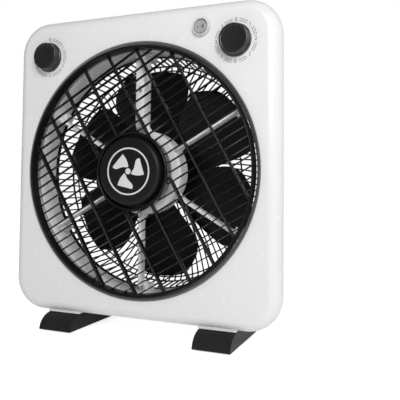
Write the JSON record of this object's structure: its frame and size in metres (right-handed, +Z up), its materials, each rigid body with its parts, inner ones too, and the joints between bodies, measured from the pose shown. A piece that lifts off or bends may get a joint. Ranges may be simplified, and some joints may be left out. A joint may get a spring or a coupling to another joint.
{
  "type": "box fan",
  "caption": "Free-standing box fan: white square case, slowly rotating black louvre in front of a six-blade impeller, timer and speed knobs, rocker switch and two feet.",
  "frame": {"origin": "bottom centre of the fan's bounding box, on the surface it stands on", "axes": "+Z up, +X to the right seen from the front, -Y out of the front louvre, towards the person"},
  "size_m": [0.368, 0.112, 0.405],
  "materials": {
    "case_white": "glossy moulded white plastic",
    "spider_white": "semi-gloss moulded white plastic",
    "louvre_black": "semi-gloss moulded black plastic",
    "impeller_black": "glossy moulded black plastic",
    "satin_black": "satin moulded black plastic",
    "foot_black": "high-gloss moulded black plastic",
    "rocker_grey": "glossy grey plastic",
    "natural_plastic": "unpainted moulded plastic",
    "wire_sheath": "matt flexible sheath",
    "pad_rubber": "matt rubber",
    "steel": "zinc-plated steel",
    "motor_aluminium": "die-cast, as cast",
    "laminations": "stacked steel laminations",
    "copper": null
  },
  "bodies": {
    "case": {"case_screw_1": "steel", "case_screw_2": "steel", "case_screw_3": "steel", "case_screw_4": "steel", "cord_gland": "satin_black", "foot_left": "foot_black", "foot_left_pad_1": "pad_rubber", "foot_left_pad_2": "pad_rubber", "foot_left_screw_1": "steel", "foot_left_screw_2": "steel", "foot_right": "foot_black", "foot_right_pad_1": "pad_rubber", "foot_right_pad_2": "pad_rubber", "foot_right_screw_1": "steel", "foot_right_screw_2": "steel", "front_case": "case_white", "grille_screw_1": "steel", "grille_screw_2": "steel", "grille_screw_3": "steel", "grille_screw_4": "steel", "louvre_gearmotor": "motor_aluminium", "motor_capacitor": "natural_plastic", "motor_front_bearing": "steel", "motor_front_bell": "motor_aluminium", "motor_front_winding": "copper", "motor_rear_bearing": "steel", "motor_rear_bell": "motor_aluminium", "motor_rear_winding": "copper", "motor_screw_1": "steel", "motor_screw_2": "steel", "motor_screw_3": "steel", "motor_screw_4": "steel", "motor_spider": "spider_white", "motor_stator": "laminations", "rear_case": "case_white", "rear_grille": "louvre_black", "rocker_switch_body": "case_white", "speed_body": "natural_plastic", "spider_screw_1": "steel", "spider_screw_2": "steel", "spider_screw_3": "steel", "terminal_block": "natural_plastic", "timer_body": "natural_plastic", "wiring_loom": "wire_sheath"},
    "louvre": {"louvre_grille": "louvre_black", "louvre_hub_cap": "satin_black", "louvre_drive_shaft": "steel", "louvre_retaining_nut": "steel"},
    "fan_rotor": {"impeller": "impeller_black", "impeller_lock_nut": "steel", "motor_shaft": "steel", "motor_rotor": "laminations"},
    "timer_control": {"timer_knob": "satin_black", "timer_spindle": "steel"},
    "speed_control": {"speed_knob": "satin_black", "speed_spindle": "steel"},
    "power_rocker": {"rocker": "rocker_grey"}
  },
  "joints": [
    {"name": "fan_spin", "type": "hinge", "parent": "case", "child": "fan_rotor", "pos_m": [0, 0.03, 0.2072], "axis": [0, 1, 0], "continuous": true},
    {"name": "louvre_spin", "type": "hinge", "parent": "case", "child": "louvre", "pos_m": [0, -0.03, 0.2072], "axis": [0, 1, 0], "continuous": true},
    {"name": "timer_turn", "type": "hinge", "parent": "case", "child": "timer_control", "pos_m": [-0.1277, -0.04, 0.3563], "axis": [0, 1, 0], "range_deg": [0, 300]},
    {"name": "speed_turn", "type": "hinge", "parent": "case", "child": "speed_control", "pos_m": [0.1277, -0.04, 0.3563], "axis": [0, 1, 0], "continuous": true},
    {"name": "rocker_tilt", "type": "hinge", "parent": "case", "child": "power_rocker", "pos_m": [0.0857, -0.041, 0.3752], "axis": [0, 0, 1], "range_deg": [0, 18]}
  ]
}
